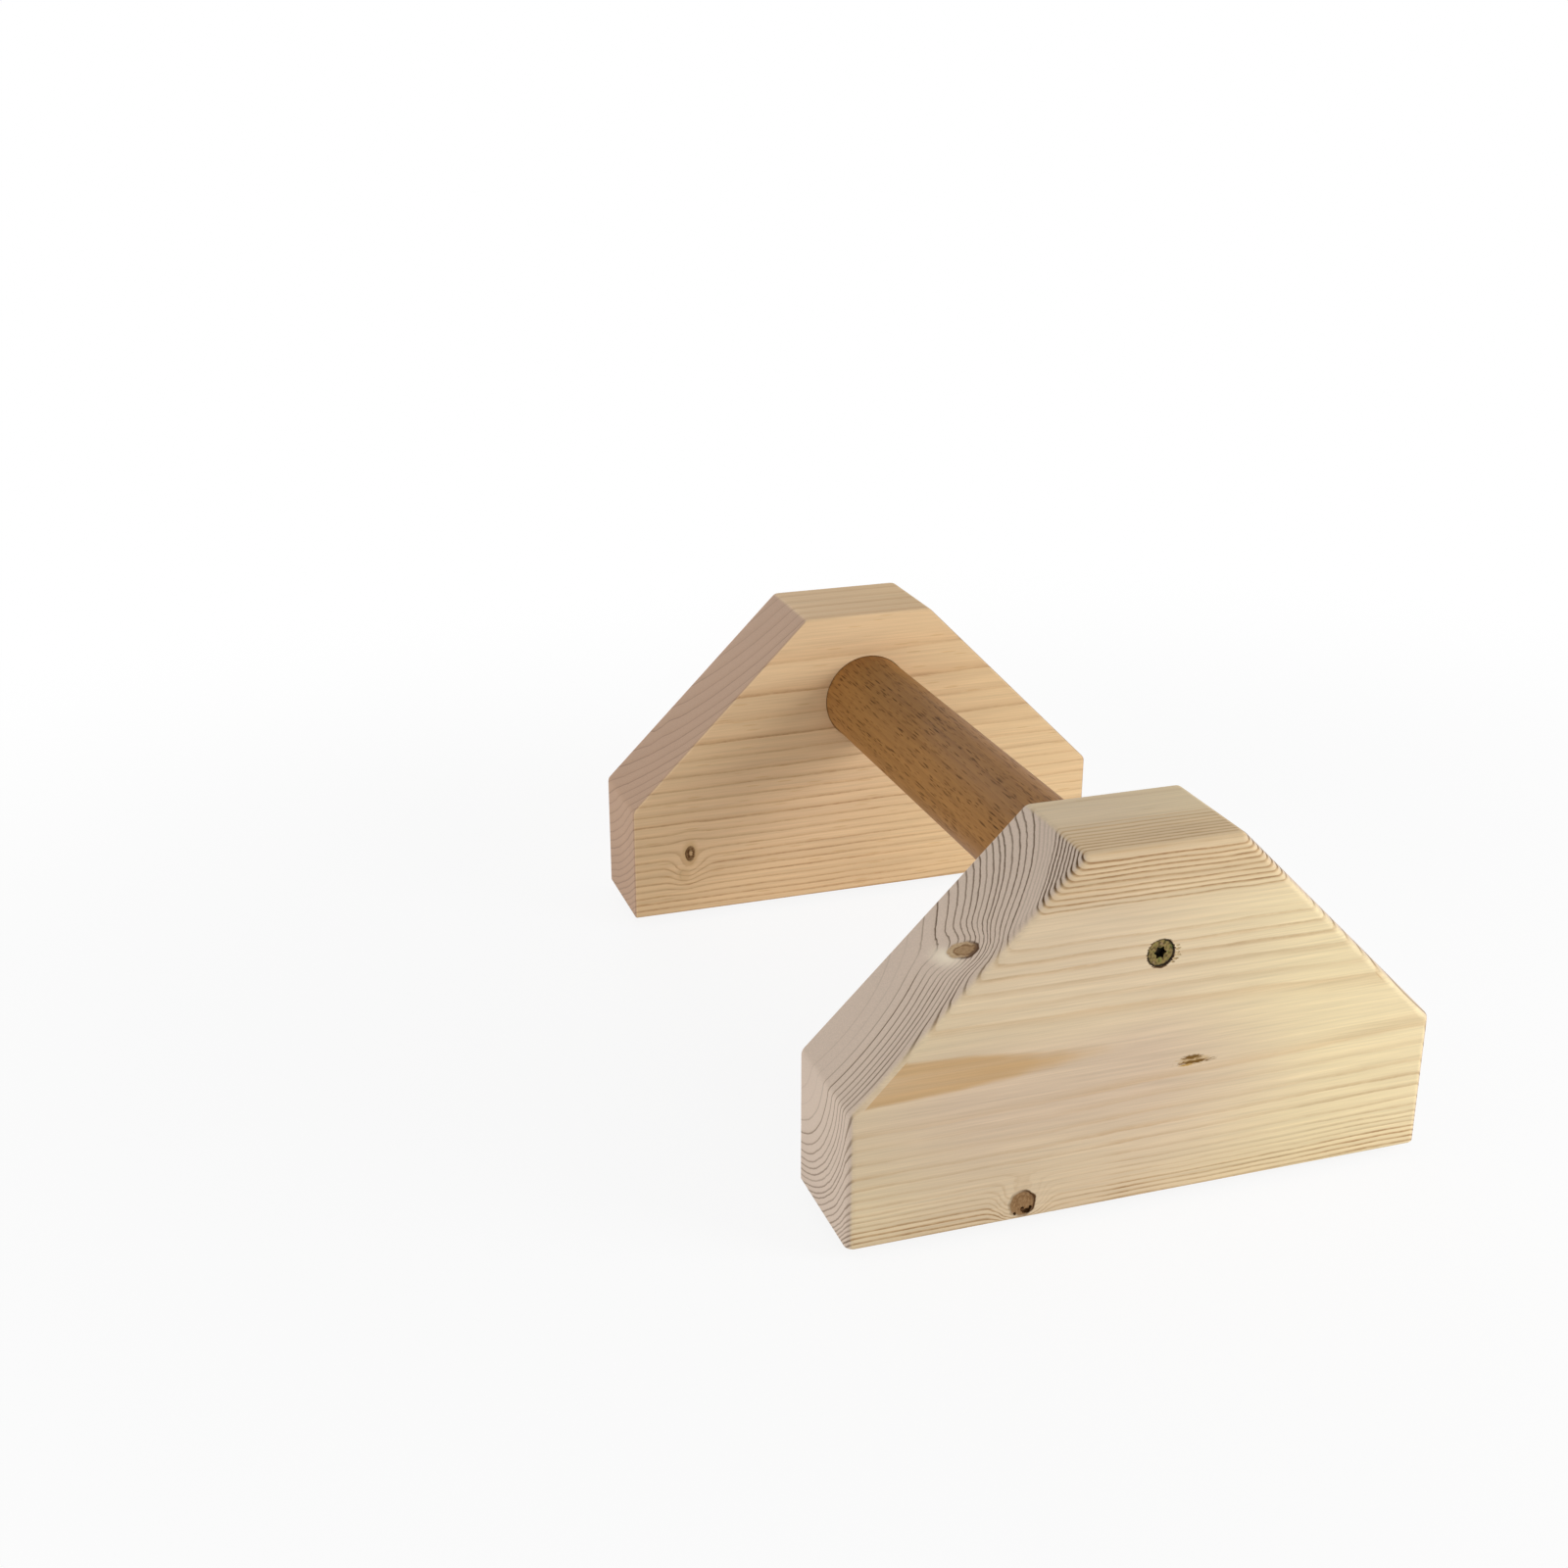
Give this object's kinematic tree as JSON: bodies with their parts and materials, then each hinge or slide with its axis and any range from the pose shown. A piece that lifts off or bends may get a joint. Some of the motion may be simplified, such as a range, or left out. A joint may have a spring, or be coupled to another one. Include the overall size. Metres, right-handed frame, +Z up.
{
  "type": "parallette bar",
  "caption": "Low wooden training bar: a round grip bar set between house-shaped end blocks on rubber feet, for push-ups and handstands.",
  "frame": {"origin": "on the floor under the middle of the grip bar", "axes": "+X along the grip bar towards the front block, +Y across the blocks, +Z up"},
  "size_m": [0.306, 0.208, 0.129],
  "materials": {
    "pine": "sanded bare pine with visible growth rings and knots",
    "beech": "sanded and oiled beech with short dark flecks",
    "zinc_screw": "yellow zinc plated steel",
    "rubber": "matte black moulded rubber",
    "adhesive": "thin adhesive foam, hidden between foot and block"
  },
  "bodies": {
    "root": {"grip_bar": "beech", "front_block": "pine", "front_bar_screw": "zinc_screw", "front_left_foot": "rubber", "front_left_adhesive": "adhesive", "front_right_foot": "rubber", "front_right_adhesive": "adhesive", "rear_block": "pine", "rear_bar_screw": "zinc_screw", "rear_left_foot": "rubber", "rear_left_adhesive": "adhesive", "rear_right_foot": "rubber", "rear_right_adhesive": "adhesive"}
  },
  "joints": []
}
